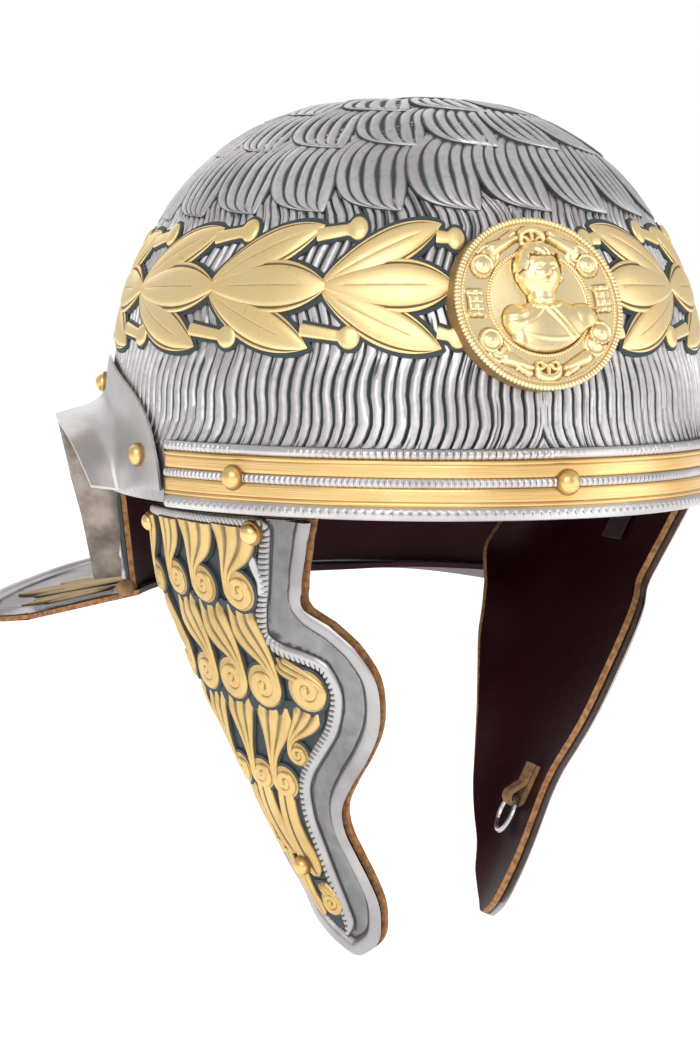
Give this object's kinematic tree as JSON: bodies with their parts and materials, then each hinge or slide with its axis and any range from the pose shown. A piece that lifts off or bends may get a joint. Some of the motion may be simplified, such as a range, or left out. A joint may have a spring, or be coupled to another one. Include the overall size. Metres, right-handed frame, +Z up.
{
  "type": "roman cavalry helmet",
  "caption": "Embossed steel helmet with brow band, ear guards, neck guard and hinged cheek pieces, worn on the head for parade or display.",
  "frame": {"origin": "head seat: the inside of the lining at the crown", "axes": "+Z up, -Y towards the front of the helmet, -X towards the wearer's right"},
  "size_m": [0.2512, 0.3095, 0.2887],
  "materials": {
    "steel": "satin embossed steel with dark patina in the grooves",
    "brass": "brushed",
    "gilt": "gilded, with dark recesses",
    "leather": "dark burgundy, semi-gloss",
    "tan_leather": "raw tan, matte"
  },
  "bodies": {
    "helmet": {"bowl": "steel", "bowl_lining": "leather", "brow_band": "steel", "brass_strip_lower": "brass", "brass_strip_upper": "brass", "band_rivet_front": "brass", "band_rivet_right": "brass", "band_rivet_left": "brass", "medallion": "gilt", "leaf_spray_right_1": "gilt", "leaf_spray_right_2": "gilt", "leaf_spray_right_3": "gilt", "leaf_spray_right_4": "gilt", "leaf_spray_right_5": "gilt", "leaf_spray_right_6": "gilt", "leaf_spray_left_1": "gilt", "leaf_spray_left_2": "gilt", "leaf_spray_left_3": "gilt", "leaf_spray_left_4": "gilt", "leaf_spray_left_5": "gilt", "leaf_spray_left_6": "gilt", "ear_guard_right": "steel", "ear_rivet_front_right": "brass", "ear_rivet_rear_right": "brass", "ear_guard_left": "steel", "ear_rivet_front_left": "brass", "ear_rivet_rear_left": "brass", "neck_leaf_1": "gilt", "neck_leaf_2": "gilt", "neck_leaf_3": "gilt", "neck_leaf_4": "gilt", "neck_leaf_5": "gilt", "neck_leaf_6": "gilt", "neck_leaf_7": "gilt", "hinge_leaf_right": "steel", "hinge_pin_right": "steel", "hinge_leaf_left": "steel", "hinge_pin_left": "steel"},
    "cheek_right": {"cheek_plate_right": "steel", "cheek_lining_right": "leather", "cheek_locks_right": "gilt", "cheek_rivet_front_right": "brass", "cheek_rivet_rear_right": "brass", "cheek_rivet_low_right": "brass", "cheek_tab_right": "tan_leather", "cheek_ring_right": "steel", "cheek_leaf_right": "steel"},
    "cheek_left": {"cheek_plate_left": "steel", "cheek_lining_left": "leather", "cheek_locks_left": "gilt", "cheek_rivet_front_left": "brass", "cheek_rivet_rear_left": "brass", "cheek_rivet_low_left": "brass", "cheek_tab_left": "tan_leather", "cheek_ring_left": "steel", "cheek_leaf_left": "steel"}
  },
  "joints": [
    {"name": "cheek_right_hinge", "type": "hinge", "parent": "helmet", "child": "cheek_right", "pos_m": [-0.08142, -0.03966, -0.1367], "axis": [-0.2983, 0.9545, 0], "range_deg": [-12, 35]},
    {"name": "cheek_left_hinge", "type": "hinge", "parent": "helmet", "child": "cheek_left", "pos_m": [0.06985, -0.03808, -0.1367], "axis": [-0.0236, -0.9997, 0], "range_deg": [0, 47]}
  ]
}
